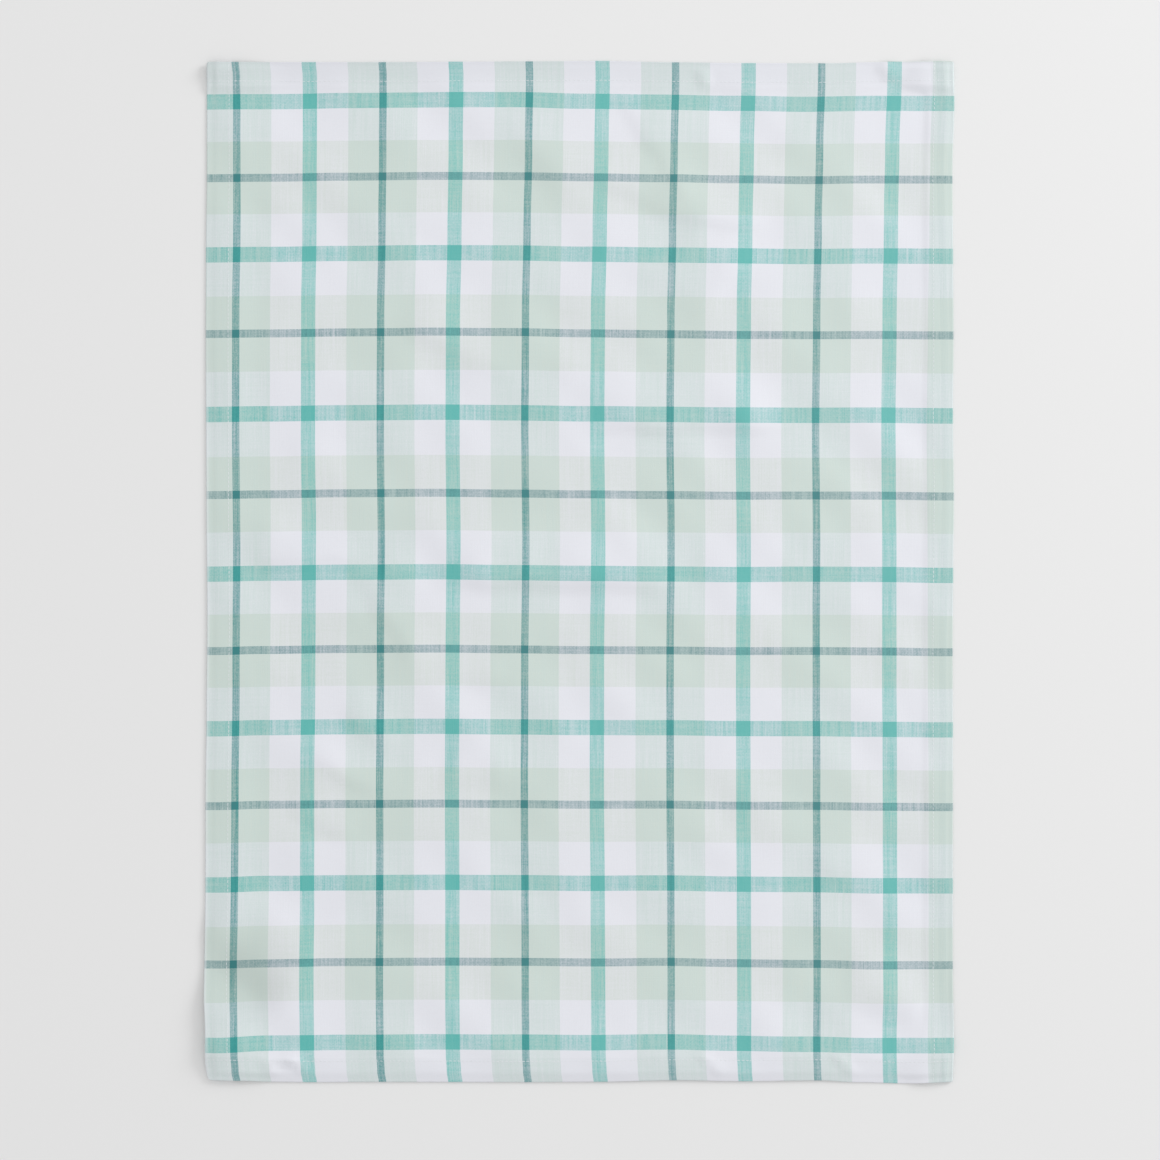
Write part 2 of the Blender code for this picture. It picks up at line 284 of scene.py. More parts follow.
def gridLines(span, nearHem, farHem):
    # places of the mesh lines along the cloth, from one raw edge to the other
    def hemLines(hem):
        lines = [-hem.width - towel["turnIn"] * share for share in hemMesh["tucked"]]
        lines += [-hem.width + step for step in hemMesh["innerFold"]]
        lines += [-hem.width * share for share in hemMesh["under"]]
        lines += [*hemMesh["outerFold"], *hemMesh["face"]]
        lines += [hem.stitch + step for step in hemMesh["stitch"]]
        lines += [hem.width + step for step in hemMesh["beside"]]
        slopeTop = hem.width + towel["slopeStart"]
        return lines + [slopeTop + hem.slope * share for share in hemMesh["slope"]]

    near = hemLines(nearHem)
    far = [span - place for place in reversed(hemLines(farHem))]
    count = round((far[0] - near[-1]) / towel["fieldCell"])
    step = (far[0] - near[-1]) / count
    return near + [near[-1] + step * i for i in range(1, count)] + far


def cornerRounded(x, y):  # rounds the corners of the outline, each with its own radius
    side, end = (1 if x > 0 else -1), (1 if y > 0 else -1)
    radius = cornerRadius[side, end]
    a = (abs(x) - towel["width"] / 2 + radius) / radius
    b = (abs(y) - towel["length"] / 2 + radius) / radius
    if a <= 0 or b <= 0:
        return x, y
    across = towel["width"] / 2 - radius + radius * a * sqrt(1 - b * b / 2)
    along = towel["length"] / 2 - radius + radius * b * sqrt(1 - a * a / 2)
    return side * across, end * along


def outlineShift(x, y):  # how far the uneven edges move a place, less and less away from them
    halfWidth, halfLength = towel["width"] / 2, towel["length"] / 2
    up, right = y / towel["length"] + 0.5, x / towel["width"] + 0.5

    def near(distance):
        return eased(1 - distance / towel["waverReach"])

    shiftX = between(rightWaver, up)[0] * near(halfWidth - x)
    shiftX -= between(leftWaver, up)[0] * near(halfWidth + x)
    shiftY = between(topWaver, right)[0] * near(halfLength - y)
    shiftY -= between(bottomWaver, right)[0] * near(halfLength + y)
    return shiftX, shiftY


def creaseHeight(crease, x, y):
    runX, runY = crease.x1 - crease.x0, crease.y1 - crease.y0
    length = hypot(runX, runY)
    along = ((x - crease.x0) * runX + (y - crease.y0) * runY) / length**2
    if not 0 < along < 1:
        return 0.0
    apart = towel["creaseNoise"]
    bend = Vector((along * length / towel["creaseBend"], crease.x0 * apart, crease.y0 * apart))
    across = ((x - crease.x0) * runY - (y - crease.y0) * runX) / length
    across += 2 * towel["creaseWander"] * noise.noise(bend)
    width = crease.steep if across > 0 else crease.gentle
    if abs(across) >= width:
        return 0.0
    ends = eased(along / towel["creaseTaper"]) * eased((1 - along) / towel["creaseTaper"])
    fade = 1 + 2 * towel["creaseFade"] * noise.noise(bend + Vector((0.0, 0.0, noiseLayer["creaseFade"])))
    return crease.height * eased(1 - abs(across) / width) * ends * fade


def liftHeight(lift, x, y):
    upDown = lift.up if y > lift.y else lift.down
    outward = hypot((x - lift.x) / lift.across, (y - lift.y) / upDown)
    return lift.height * eased((1 - outward) * towel["liftPlateau"])


def puckerHeight(x, y):  # small waves along the hems, none at their outer edge
    sideIn = towel["width"] / 2 - abs(x)
    endIn = towel["length"] / 2 - abs(y)
    length, edge, fall = towel["puckerLength"], towel["puckerEdge"], towel["puckerFall"]
    stretch = towel["puckerStretch"]
    sideHem = hems["left" if x < 0 else "right"]
    endHem = hems["bottom" if y < 0 else "top"]
    sideShare = eased(sideIn / edge) * eased(1 - (sideIn - sideHem.width + edge) / fall)
    endShare = eased(endIn / fall) * eased(1 - (endIn - endHem.width + edge) / fall)
    sideWave = 0.5 + 0.5 * noise.noise(Vector((x / length / stretch, y / length, noiseLayer["sidePucker"])))
    endWave = 0.5 + 0.5 * noise.noise(Vector((x / length, y / length / stretch, noiseLayer["endPucker"])))
    return towel["hemPucker"] * max(sideShare * sideWave, endShare * endWave)


def rollHeight(x, y):  # the side folds stand off the surface, and the bottom hem arches over it
    up, right = y / towel["length"] + 0.5, x / towel["width"] + 0.5

    def near(distance):
        return eased(1 - distance / towel["rollReach"])

    roll = between(leftRoll, up)[0] * near(towel["width"] / 2 + x)
    roll += between(rightRoll, up)[0] * near(towel["width"] / 2 - x)
    fromBottom = max(y + towel["length"] / 2, 0.0)
    rise = sin(min(fromBottom / towel["archRise"], 1.0) * pi / 2)
    fall = eased(1 - (fromBottom - towel["archRise"]) / towel["archFall"])
    return roll + between(bottomArch, right)[0] * rise * fall


def swellHeight(x, y):  # the long swells run down to the right
    along, across = (x - y) / sqrt(2), (x + y) / sqrt(2)
    run, width = towel["waveRun"], towel["waveWidth"]
    wave = noise.noise(Vector((along / run, across / width, noiseLayer["longSwell"])))
    shorter = noise.noise(Vector((x / width, y / width, noiseLayer["shortSwell"])))
    wave += towel["waveShort"] * shorter
    swell = max(0.0, towel["waveMean"] + (1 - towel["waveMean"]) * wave)
    inside = min(towel["width"] / 2 - abs(x), towel["length"] / 2 - abs(y))
    return towel["waveHeight"] * swell * eased(inside / towel["waveMargin"])


def relief(x, y):  # height of the cloth's underside over the surface it lies on
    height = sum(creaseHeight(crease, x, y) for crease in creases)
    height += sum(liftHeight(lift, x, y) for lift in lifts)
    return height + swellHeight(x, y) + puckerHeight(x, y) + rollHeight(x, y) + towel["liftOff"]


def grainAt(x, y):  # the warp end and the weft pick at a place, both counted in repeats of the check
    right, up = x / towel["width"] + 0.5, y / towel["length"] + 0.5
    endShift = threeWay(between(endWander, up), right)
    pickShift = between(pickSpacing, up)[0] + threeWay(between(pickBow, right), up)
    end = (x + towel["width"] / 2 - check["firstDarkEnd"] - endShift) / check["repeatAcross"]
    pick = (y + towel["length"] / 2 - check["firstDarkPick"] - pickShift) / check["repeatAlong"]
    return end, pick


def clamped(place, span):  # the nearest place on the flat face, between its two folds
    return min(max(place, 0.0), span)


def placeIn(place, span, nearHem, farHem):  # how far in from the nearer fold a place comes to lie
    inward, hem = (place, nearHem) if place < span / 2 else (span - place, farHem)
    return abs(inward) if inward > -hem.width else 2 * hem.width + inward


def clothPoint(column, row):
    # the end hems are turned first, and the side hems are turned over them, so the layers of an end hem
    # are a package that the side hem folds as one
    left, right, top, bottom = hems["left"], hems["right"], hems["top"], hems["bottom"]
    width, length, thickness = towel["width"], towel["length"], towel["thickness"]
    fromCorner = hypot(placeIn(column, width, left, right), placeIn(row, length, bottom, top))
    press = towel["cornerPress"] * eased(1 - fromCorner / towel["cornerReach"])
    layer = towel["layerPitch"] * (1 - press)
    up, height, _ = section(row, length, bottom, top, layer, thickness / 2)
    endHem = bottom if row < length / 2 else top
    package = layer * (1 + faceLevel(max(min(up, length - up), 0.0), endHem))
    offset = height - package / 2
    nose = (package - layer + thickness) / 2
    longer = towel["packageSlope"] * (package / layer - 1)
    left, right = (hem._replace(slope=hem.slope + longer) for hem in (left, right))
    across, middle, normal = section(column, width, left, right, package, nose)
    x, y = cornerRounded(across + normal[0] * offset - width / 2, up - length / 2)
    shiftX, shiftY = outlineShift(x, y)
    x, y = x + shiftX, y + shiftY
    return x, y, middle + normal[1] * offset + relief(x, y)


def yarnPlace(column, row):
    # the check's place for a point of the cloth, past a fold counted on from it, and the place of the
    # layer that lies turned under it
    flatX = clamped(column, towel["width"]) - towel["width"] / 2
    flatY = clamped(row, towel["length"]) - towel["length"] / 2
    shiftX, shiftY = outlineShift(flatX, flatY)
    end, pick = grainAt(flatX + shiftX, flatY + shiftY)
    end += (column - clamped(column, towel["width"])) / check["repeatAcross"]
    pick += (row - clamped(row, towel["length"])) / check["repeatAlong"]
    sideFold = -towel["width"] / 2 if flatX < 0 else towel["width"] / 2
    endFold = -towel["length"] / 2 if flatY < 0 else towel["length"] / 2
    foldShift = outlineShift(sideFold, flatY)[0], outlineShift(flatX, endFold)[1]
    endAtFold = grainAt(sideFold + foldShift[0], flatY)[0]
    pickAtFold = grainAt(flatX, endFold + foldShift[1])[1]
    return (end, pick), (2 * endAtFold - end, 2 * pickAtFold - pick)


def addMap(mesh, name, values):  # a UV map with one value for each vertex
    layer = mesh.uv_layers.new(name=name)
    corners = [0] * len(mesh.loops)
    mesh.loops.foreach_get("vertex_index", corners)
    layer.data.foreach_set("uv", [number for corner in corners for number in values[corner]])


def makeTowel():
    columns = gridLines(towel["width"], hems["left"], hems["right"])
    rows = gridLines(towel["length"], hems["bottom"], hems["top"])
    points, yarns, under, places = [], [], [], []
    for row in rows:
        for column in columns:
            points.append(clothPoint(column, row))
            own, below = yarnPlace(column, row)
            yarns.append(own)
            under.append(below)
            places.append((column, row))
    count = len(columns)
    faces = [
        (j * count + i, j * count + i + 1, (j + 1) * count + i + 1, (j + 1) * count + i)
        for j in range(len(rows) - 1)
        for i in range(count - 1)
    ]
    middle = [(min(p[axis] for p in points) + max(p[axis] for p in points)) / 2 for axis in (0, 1)]
    points = [(x - middle[0], y - middle[1], z) for x, y, z in points]
    mesh = bpy.data.meshes.new("towelCloth")
    mesh.from_pydata(points, [], faces)
    addMap(mesh, "yarnMap", yarns)
    addMap(mesh, "underMap", under)
    addMap(mesh, "clothMap", places)
    mesh.shade_smooth()
    cloth = bpy.data.objects.new("towelCloth", mesh)
    bpy.context.scene.collection.objects.link(cloth)
    solid = cloth.modifiers.new("clothThickness", "SOLIDIFY")
    solid.thickness = towel["thickness"]
    solid.offset = 0.0
    return cloth, middle, columns, rows


stitching = {
    "length": 0.0024,  # what shows of one stitch
    "pitch": 0.0029,  # from one stitch to the next
    "halfWidth": 0.00017,
    "halfHeight": 0.00010,
    "proud": 0.00003,  # the middle of a stitch over the cloth
    "dip": 0.00013,  # its ends under the face of the cloth
    "margin": 0.0012,  # from the end of a line of stitches to the folded edge
    "slant": 0.06,  # how far a stitch may turn from its line, as a slope
    "slantNoise": 400.0,  # noise steps a metre, so that each stitch turns its own way
    "sides": 6,  # corners of its cross-section
    "lowest": 0.00001,  # thread on the back lies on the surface
    "lookFrom": 0.03,  # height above and below the cloth from which its faces are found
}
# rings of a stitch: place from its middle as a share of half its length, size, and rise out of the cloth,
# below 0 where it goes in
ringRow = namedtuple("ringRow", "place size rise")
stitchRings = [
    ringRow(-1.00, 0.35, -1.00), ringRow(-0.72, 0.85, -0.15), ringRow(-0.30, 1.00, 1.00),
    ringRow(0.30, 1.00, 1.00), ringRow(0.72, 0.85, -0.15), ringRow(1.00, 0.35, -1.00),
]


def stitchLines():
    # start and end of each line of stitches on the flat cloth, from its middle
    halfWidth, halfLength = towel["width"] / 2, towel["length"] / 2
    margin = stitching["margin"]
    left, right = -halfWidth + hems["left"].stitch, halfWidth - hems["right"].stitch
    top, bottom = halfLength - hems["top"].stitch, -halfLength + hems["bottom"].stitch
    return [
        ((left, -halfLength + margin), (left, halfLength - margin)),
        ((right, -halfLength + margin), (right, halfLength - margin)),
        ((-halfWidth + margin, top), (halfWidth - margin, top)),
        ((-halfWidth + margin, bottom), (halfWidth - margin, bottom)),
    ]


def makeStitching(cloth, middle):
    tree = BVHTree.FromObject(cloth, bpy.context.evaluated_depsgraph_get())
    sides = stitching["sides"]
    points, faces, twist = [], [], []

    def heightAt(x, y, up):  # the cloth's face, or its back from below
        start = Vector((x, y, stitching["lookFrom"] * up))
        hit = tree.ray_cast(start, Vector((0.0, 0.0, -up)))[0]
        return hit.z if hit else None

    def addStitch(centre, direction, up):
        heights = []
        for ring in stitchRings:
            at = centre + direction * (ring.place * stitching["length"] / 2)
            heights.append(heightAt(at.x, at.y, up))
        if None in heights:
            return
        acrossLine = Vector((-direction.y, direction.x, 0.0))
        first = len(points)
        for ring, height in zip(stitchRings, heights):
            lifted = stitching["proud"] if ring.rise > 0 else stitching["dip"] * ring.rise
            core = centre + direction * (ring.place * stitching["length"] / 2)
            core.z = height + up * lifted
            for k in range(sides):
                angle = 2 * pi * k / sides
                point = core + acrossLine * (cos(angle) * stitching["halfWidth"] * ring.size)
                point.z += sin(angle) * stitching["halfHeight"] * ring.size
                point.z = max(point.z, stitching["lowest"])
                points.append(tuple(point))
                twist.append((ring.place, k / sides))
        last = first + (len(stitchRings) - 1) * sides
        for start in range(first, last, sides):
            for k in range(sides):
                a, b = start + k, start + (k + 1) % sides
                faces.append((a, a + sides, b + sides, b))
        faces.append(tuple(first + k for k in range(sides)))
        faces.append(tuple(last + k for k in reversed(range(sides))))

    for start, end in stitchLines():
        length = hypot(end[0] - start[0], end[1] - start[1])
        count = int(length / stitching["pitch"])
        for up in (1, -1):
            for k in range(count):
                share = (k + 0.5 + (0.5 if up < 0 else 0.0)) / count  # half a stitch on at the back
                if share >= 1:
                    continue
                x, y = (a + (b - a) * share for a, b in zip(start, end))
                shiftX, shiftY = outlineShift(x, y)
                centre = Vector((x + shiftX - middle[0], y + shiftY - middle[1], 0.0))
                steps = stitching["slantNoise"]
                slant = noise.noise(Vector((x * steps, y * steps, noiseLayer["stitchSlant"] * up)))
                slant *= stitching["slant"]
                direction = Vector(((end[0] - start[0]) / length, (end[1] - start[1]) / length, 0.0))
                direction = (direction + Vector((-direction.y, direction.x, 0.0)) * slant).normalized()
                addStitch(centre, direction, up)
    mesh = bpy.data.meshes.new("hemStitching")
    mesh.from_pydata(points, [], faces)
    addMap(mesh, "threadMap", twist)
    mesh.shade_smooth()
    thread = bpy.data.objects.new("hemStitching", mesh)
    bpy.context.scene.collection.objects.link(thread)
    return thread


def wire(tree, value, socket):  # links a socket, or sets a plain value
    if isinstance(value, bpy.types.NodeSocket):
        tree.links.new(value, socket)
    else:
        socket.default_value = value


def put(tree, kind, inputs=None, **settings):
    node = tree.nodes.new(kind)
    for name, value in settings.items():
        setattr(node, name, value)
    for socket, value in (inputs or {}).items():
        wire(tree, value, node.inputs[socket])
    return node


def calc(tree, operation, a, b=0.0, c=0.0):
    node = put(tree, "ShaderNodeMath", {0: a, 1: b, 2: c}, operation=operation)
    return node.outputs[0]


def mixed(tree, factor, a, b, blend="MIX"):
    # colours: a mix node has them on its sockets 6 and 7, and puts them out on 2
    node = put(tree, "ShaderNodeMix", data_type="RGBA", blend_type=blend)
    wire(tree, factor, node.inputs[0])
    wire(tree, a, node.inputs[6])
    wire(tree, b, node.inputs[7])
    return node.outputs[2]


def newGroup(name, inputs, outputs):
    tree = bpy.data.node_groups.new(name, "ShaderNodeTree")
    for label, kind, value in inputs:
        socket = tree.interface.new_socket(label, in_out="INPUT", socket_type=kind)
        if value is not None:
            socket.default_value = value
    for label, kind in outputs:
        tree.interface.new_socket(label, in_out="OUTPUT", socket_type=kind)
    return tree, tree.nodes.new("NodeGroupInput").outputs, tree.nodes.new("NodeGroupOutput").inputs


def useGroup(tree, group, inputs):
    node = tree.nodes.new("ShaderNodeGroup")
    node.node_tree = group
    for name, value in inputs.items():
        wire(tree, value, node.inputs[name])
    return node.outputs


colour, number, vector = "NodeSocketColor", "NodeSocketFloat", "NodeSocketVector"

cotton = {
    # the yarns' colours, warpCover and crossTint come from a fit to the crossings in the photograph
    "white": (0.821, 0.829, 0.873),
    "warpPale": (0.643, 0.743, 0.714),
    "warpTeal": (0.191, 0.570, 0.530),
    "warpPetrol": (0.037, 0.293, 0.290),
    "weftPale": (0.688, 0.749, 0.703),
    "weftTeal": (0.106, 0.504, 0.474),
    "weftPetrol": (0.087, 0.251, 0.269),
    # where each colour starts, from the middle of a dark stripe to the middle of a teal one
    "paleFrom": 0.05,
    "whiteFrom": 0.47,
    "tealFrom": 0.90,
    "warpCover": 0.585,  # share of the face that shows the warp
    "crossTint": 0.261,  # how much the yarns underneath tint the ones on top
    "weaveContrast": 0.34,
    "endSlub": 0.27,  # how much thick and thin places of the warp and weft yarns show
    "pickSlub": 0.12,
    "slubLength": 55.0,  # in yarns
    "leftShowThrough": 0.0,  # how much the turned layers tint a hem
    "rightShowThrough": 0.11,
    "endShowThrough": 0.06,
    "foldPaintedLight": 0.45,  # painted light: the left fold is painted paler, up to a place on the way to the top, for the light that comes through the thin fold
    "foldPaintedLightWidth": 0.0024,
    "foldPaintedLightFrom": 0.42,
    "foldPaintedLightTo": 0.54,
    "foldPaintedLightLeft": 0.25,  # share of the painted light above that place
    "topFoldShade": 0.105,  # painted shade: the top hem is painted darker towards its fold
    "topFoldShadeWidth": 0.0200,
    "topFoldShadeRight": 0.50,  # share of the painted shade that is left at the right
    "liftShade": 0.100,  # painted shade: the thin cloth is painted darker where it stands off the pale surface, at the lower left
    "liftShadePlace": (0.0325, 0.0770, 0.0),  # across from the left fold, and along from the bottom fold
    "liftShadeReach": (0.0420, 0.0440, 1.0),
    "liftShadeLevel": 0.20,  # share of its reach over which it is even
    "liftShadeHem": 0.35,  # share of it in the side hem, which is thicker
    "lampSheenAcross": 0.050,  # painted sheen: the yarns are painted paler towards the right and the top, where the lamp stands
    "lampSheenAlong": 0.010,
    "roughness": 0.90,
    "roughnessSpread": 0.05,  # rougher between the yarns and smoother on top of them, by this much
    "weaveDepth": 0.00005,
    "weaveBump": 0.6,
    "slubBump": 0.35,  # height of the slubs against that of the yarns
    "specular": 0.25,
    "sheen": 0.12,
    "sheenRoughness": 0.5,
}
# grains of the uneven yarns: noise steps from one yarn to the next, length along the yarn, and weight
slubRow = namedtuple("slubRow", "perYarn stretch weight")
slubGrains = [slubRow(0.83, 1.00, 1.3), slubRow(0.21, 3.00, 1.0), slubRow(0.45, 0.05, 0.9)]


def checkChart():
    # colours of the warp end and the weft pick at a place in the check
    tree, given, result = newGroup(
        "checkChart", [("Yarn Place", vector, None)], [("Warp Colour", colour), ("Weft Colour", colour)]
    )
    split = put(tree, "ShaderNodeSeparateXYZ", {0: given["Yarn Place"]})
    for axis, name, yarns in ((0, "Warp Colour", "warp"), (1, "Weft Colour", "weft")):
        fromDark = calc(tree, "MULTIPLY", calc(tree, "PINGPONG", split.outputs[axis], 0.5), 2.0)
        ramp = put(tree, "ShaderNodeValToRGB", {0: fromDark})
        stripes = ramp.color_ramp
        stripes.interpolation = "CONSTANT"
        stops = [
            (yarns + "Petrol", 0.0),
            (yarns + "Pale", cotton["paleFrom"]),
            ("white", cotton["whiteFrom"]),
            (yarns + "Teal", cotton["tealFrom"]),
        ]
        while len(stripes.elements) < len(stops):
            stripes.elements.new(0.5)  # its own place is set below
        for element, (_, place) in zip(stripes.elements, stops):
            element.position = place
        for element, (yarn, _) in zip(stripes.elements, stops):
            element.color = (*cotton[yarn], 1.0)
        wire(tree, ramp.outputs[0], result[name])
    return tree


def yarnSlub():
    # uneven yarns: how much thicker than the mean each end and each pick is, from about -1 to 1
    tree, given, result = newGroup(
        "yarnSlub",
        [("Yarn Count", vector, None), ("Slub Length", number, 60.0)],
        [("Warp", number), ("Weft", number)],
    )
    split = put(tree, "ShaderNodeSeparateXYZ", {0: given["Yarn Count"]})
    for axis, name, layer in ((0, "Warp", "warpSlub"), (1, "Weft", "weftSlub")):
        yarn, run = split.outputs[axis], split.outputs[1 - axis]
        total = None
        for grain in slubGrains:
            at = put(tree, "ShaderNodeCombineXYZ", {
                0: calc(tree, "MULTIPLY", yarn, grain.perYarn),
                1: calc(tree, "DIVIDE", run, calc(tree, "MULTIPLY", given["Slub Length"], grain.stretch)),
                2: noiseLayer[layer] + grain.stretch,
            })
            uneven = put(tree, "ShaderNodeTexNoise", {"Vector": at.outputs[0], "Scale": 1.0, "Detail": 1.0})
            centred = calc(tree, "SUBTRACT", uneven.outputs[0], 0.5)
            centred = calc(tree, "MULTIPLY", centred, 2 * grain.weight)
            total = centred if total is None else calc(tree, "ADD", total, centred)
        wire(tree, total, result[name])
    return tree


def plainWeave():
    # over one, under one: the share of warp that shows, and the height of the yarns
    tree, given, result = newGroup(
        "plainWeave",
        [("Yarn Count", vector, None), ("Cover", number, 0.5), ("Contrast", number, 0.3)],
        [("Warp Share", number), ("Height", number)],
    )
    split = put(tree, "ShaderNodeSeparateXYZ", {0: given["Yarn Count"]})
    acrossEnds = calc(tree, "SINE", calc(tree, "MULTIPLY", split.outputs[0], pi))
    alongPicks = calc(tree, "SINE", calc(tree, "MULTIPLY", split.outputs[1], pi))
    crossing = calc(tree, "MULTIPLY", acrossEnds, alongPicks)
    share = calc(tree, "ADD", given["Cover"], calc(tree, "MULTIPLY", crossing, given["Contrast"]))
    clamp = put(tree, "ShaderNodeClamp", {0: share})
    wire(tree, clamp.outputs[0], result["Warp Share"])
    wire(tree, calc(tree, "SQRT", calc(tree, "ABSOLUTE", crossing)), result["Height"])
    return tree


def hemMask():
    # 1 where the cloth lies on its own turned layers, by the sides and by the ends, how much these layers
    # tint the face, then 1 at the left fold for its painted light, at the top fold and in the middle of the
    # lifted place for their painted shade, less and less away from them
    outputs = ("Side Hems", "End Hems", "Show Through", "Left Fold Light", "Top Fold Shade", "Off Surface Shade")
    tree, given, result = newGroup(
        "hemMask", [("Cloth Place", vector, None)], [(name, number) for name in outputs]
    )
    split = put(tree, "ShaderNodeSeparateXYZ", {0: given["Cloth Place"]})
    across, along = split.outputs[0], split.outputs[1]
    atLeft = calc(tree, "LESS_THAN", across, hems["left"].width)
    atRight = calc(tree, "GREATER_THAN", across, towel["width"] - hems["right"].width)
    atBottom = calc(tree, "LESS_THAN", along, hems["bottom"].width)
    atTop = calc(tree, "GREATER_THAN", along, towel["length"] - hems["top"].width)
    ends = calc(tree, "ADD", atBottom, atTop)
    wire(tree, calc(tree, "ADD", atLeft, atRight), result["Side Hems"])
    wire(tree, ends, result["End Hems"])
    tint = calc(tree, "MULTIPLY", atLeft, cotton["leftShowThrough"])
    tint = calc(tree, "MULTIPLY_ADD", atRight, cotton["rightShowThrough"], tint)
    tint = calc(tree, "MULTIPLY_ADD", ends, cotton["endShowThrough"], tint)
    wire(tree, tint, result["Show Through"])
    # painted light along the left fold, weaker above a place on the way to the top
    # sockets of a map range: the value, its range from and to, and the range that it is mapped to
    pale = {0: calc(tree, "ABSOLUTE", across), 1: 0.0, 2: cotton["foldPaintedLightWidth"], 3: 1.0, 4: 0.0}
    pale = put(tree, "ShaderNodeMapRange", pale, interpolation_type="SMOOTHSTEP").outputs[0]
    above = cotton["foldPaintedLightLeft"]
    foldLightAlong = {0: along, 1: cotton["foldPaintedLightFrom"], 2: cotton["foldPaintedLightTo"], 3: 1.0, 4: above}
    foldLightAlong = put(tree, "ShaderNodeMapRange", foldLightAlong, interpolation_type="SMOOTHSTEP").outputs[0]
    wire(tree, calc(tree, "MULTIPLY", pale, foldLightAlong), result["Left Fold Light"])
    # painted shade along the top fold, weaker towards the right
    fromTop = calc(tree, "SUBTRACT", towel["length"], along)
    topShadeMask = {0: fromTop, 1: 0.0, 2: cotton["topFoldShadeWidth"], 3: 1.0, 4: 0.0}
    topShadeMask = put(tree, "ShaderNodeMapRange", topShadeMask).outputs[0]
    topShadeFade = {0: across, 1: 0.0, 2: towel["width"], 3: 1.0, 4: cotton["topFoldShadeRight"]}
    topShadeFade = put(tree, "ShaderNodeMapRange", topShadeFade).outputs[0]
    wire(tree, calc(tree, "MULTIPLY", topShadeMask, topShadeFade), result["Top Fold Shade"])
    # painted shade where the cloth stands off the surface, less of it in the left hem
    place = {0: given["Cloth Place"], 1: cotton["liftShadePlace"]}
    place = put(tree, "ShaderNodeVectorMath", place, operation="SUBTRACT").outputs[0]
    place = put(tree, "ShaderNodeVectorMath", {0: place, 1: cotton["liftShadeReach"]}, operation="DIVIDE")
    away = put(tree, "ShaderNodeVectorMath", {0: place.outputs[0]}, operation="LENGTH").outputs["Value"]
    lifted = {0: away, 1: cotton["liftShadeLevel"], 2: 1.0, 3: 1.0, 4: 0.0}
    lifted = put(tree, "ShaderNodeMapRange", lifted, interpolation_type="SMOOTHSTEP").outputs[0]
    thin = calc(tree, "MULTIPLY_ADD", atLeft, cotton["liftShadeHem"] - 1, 1.0)
    wire(tree, calc(tree, "MULTIPLY", lifted, thin), result["Off Surface Shade"])
    return tree


